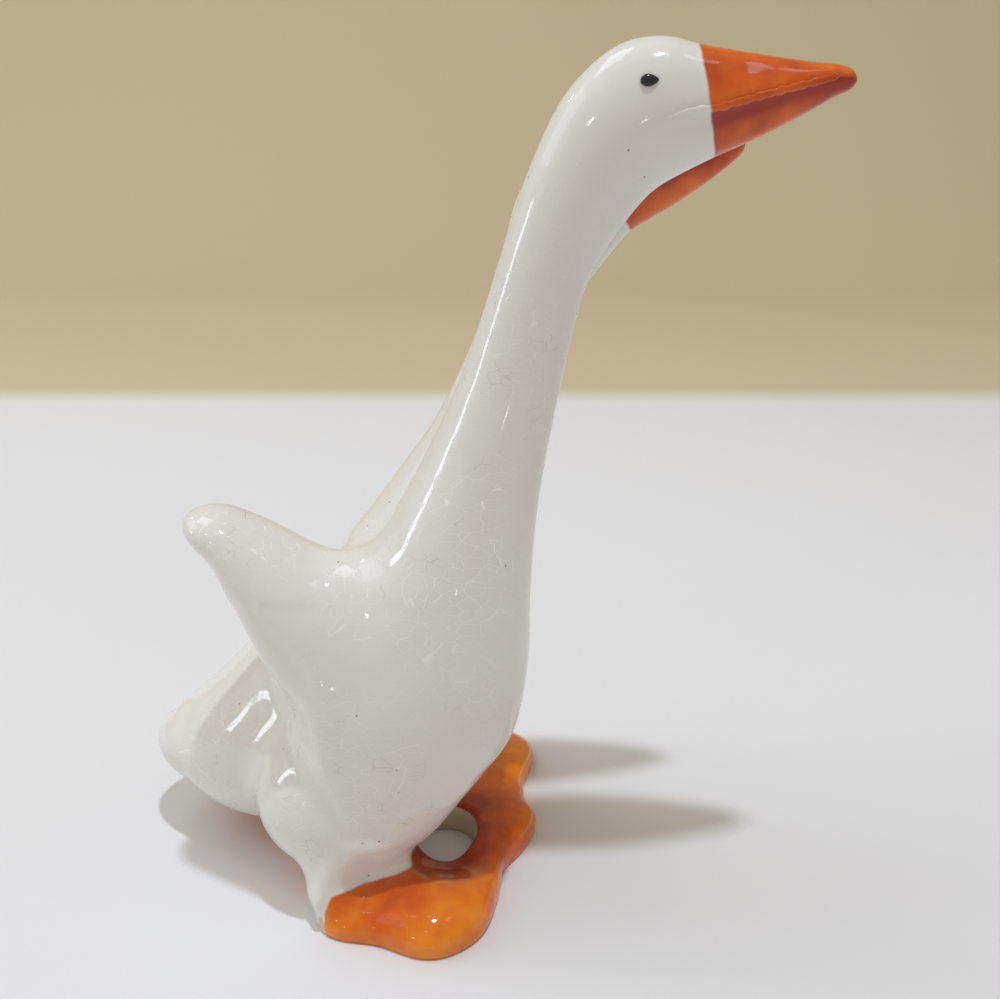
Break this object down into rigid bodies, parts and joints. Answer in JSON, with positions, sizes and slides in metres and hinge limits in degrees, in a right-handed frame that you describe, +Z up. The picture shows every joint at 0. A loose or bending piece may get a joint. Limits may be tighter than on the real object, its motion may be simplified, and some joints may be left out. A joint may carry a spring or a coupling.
{
  "type": "goose pair figurine",
  "caption": "Glazed ceramic figurine: long-necked geese side by side on one lobed foot slab with an oval hole, the nearer with its tail raised.",
  "frame": {"origin": "on the flat underside of the foot slab, under the middle of the two bodies", "axes": "+Z up, standing on the slab; +X the way both beaks point; +Y to the geese's left, from the taller goose towards the lower one"},
  "size_m": [0.1041, 0.0632, 0.1256],
  "materials": {
    "white_glaze": "thick clear gloss glaze over white slip, finely crazed",
    "orange_glaze": "orange underglaze paint under the same clear gloss, on the beaks and the foot slab",
    "black_eye_paint": "raised drops of glossy black paint"
  },
  "bodies": {
    "root": {"goose_pair": "white_glaze"}
  },
  "joints": []
}
